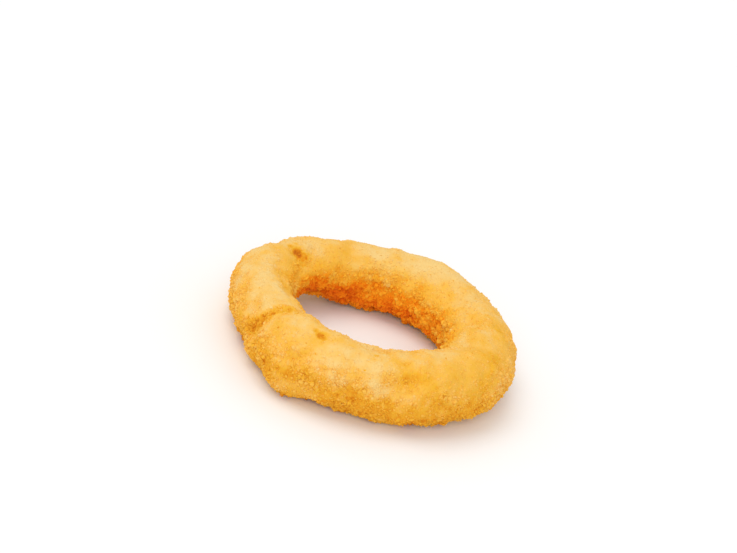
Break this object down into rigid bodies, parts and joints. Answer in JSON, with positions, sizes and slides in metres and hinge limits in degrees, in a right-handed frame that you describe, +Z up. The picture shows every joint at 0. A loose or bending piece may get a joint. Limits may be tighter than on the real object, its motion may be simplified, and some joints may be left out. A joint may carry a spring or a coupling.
{
  "type": "onion ring",
  "caption": "Crumbed and fried onion ring: a fat, slightly uneven ring of golden crumb crust with a round hole, lying flat.",
  "frame": {"origin": "middle of the ring's footprint, on the surface it rests on", "axes": "+Z up through the hole, out of the resting face; +X along the longest width, -Y towards the side that the picture shows nearest"},
  "size_m": [0.0754, 0.0726, 0.0182],
  "materials": {
    "crumb_crust": "dry, rough golden crumb crust with a faint oily sheen"
  },
  "bodies": {
    "root": {"onion_ring": "crumb_crust"}
  },
  "joints": []
}
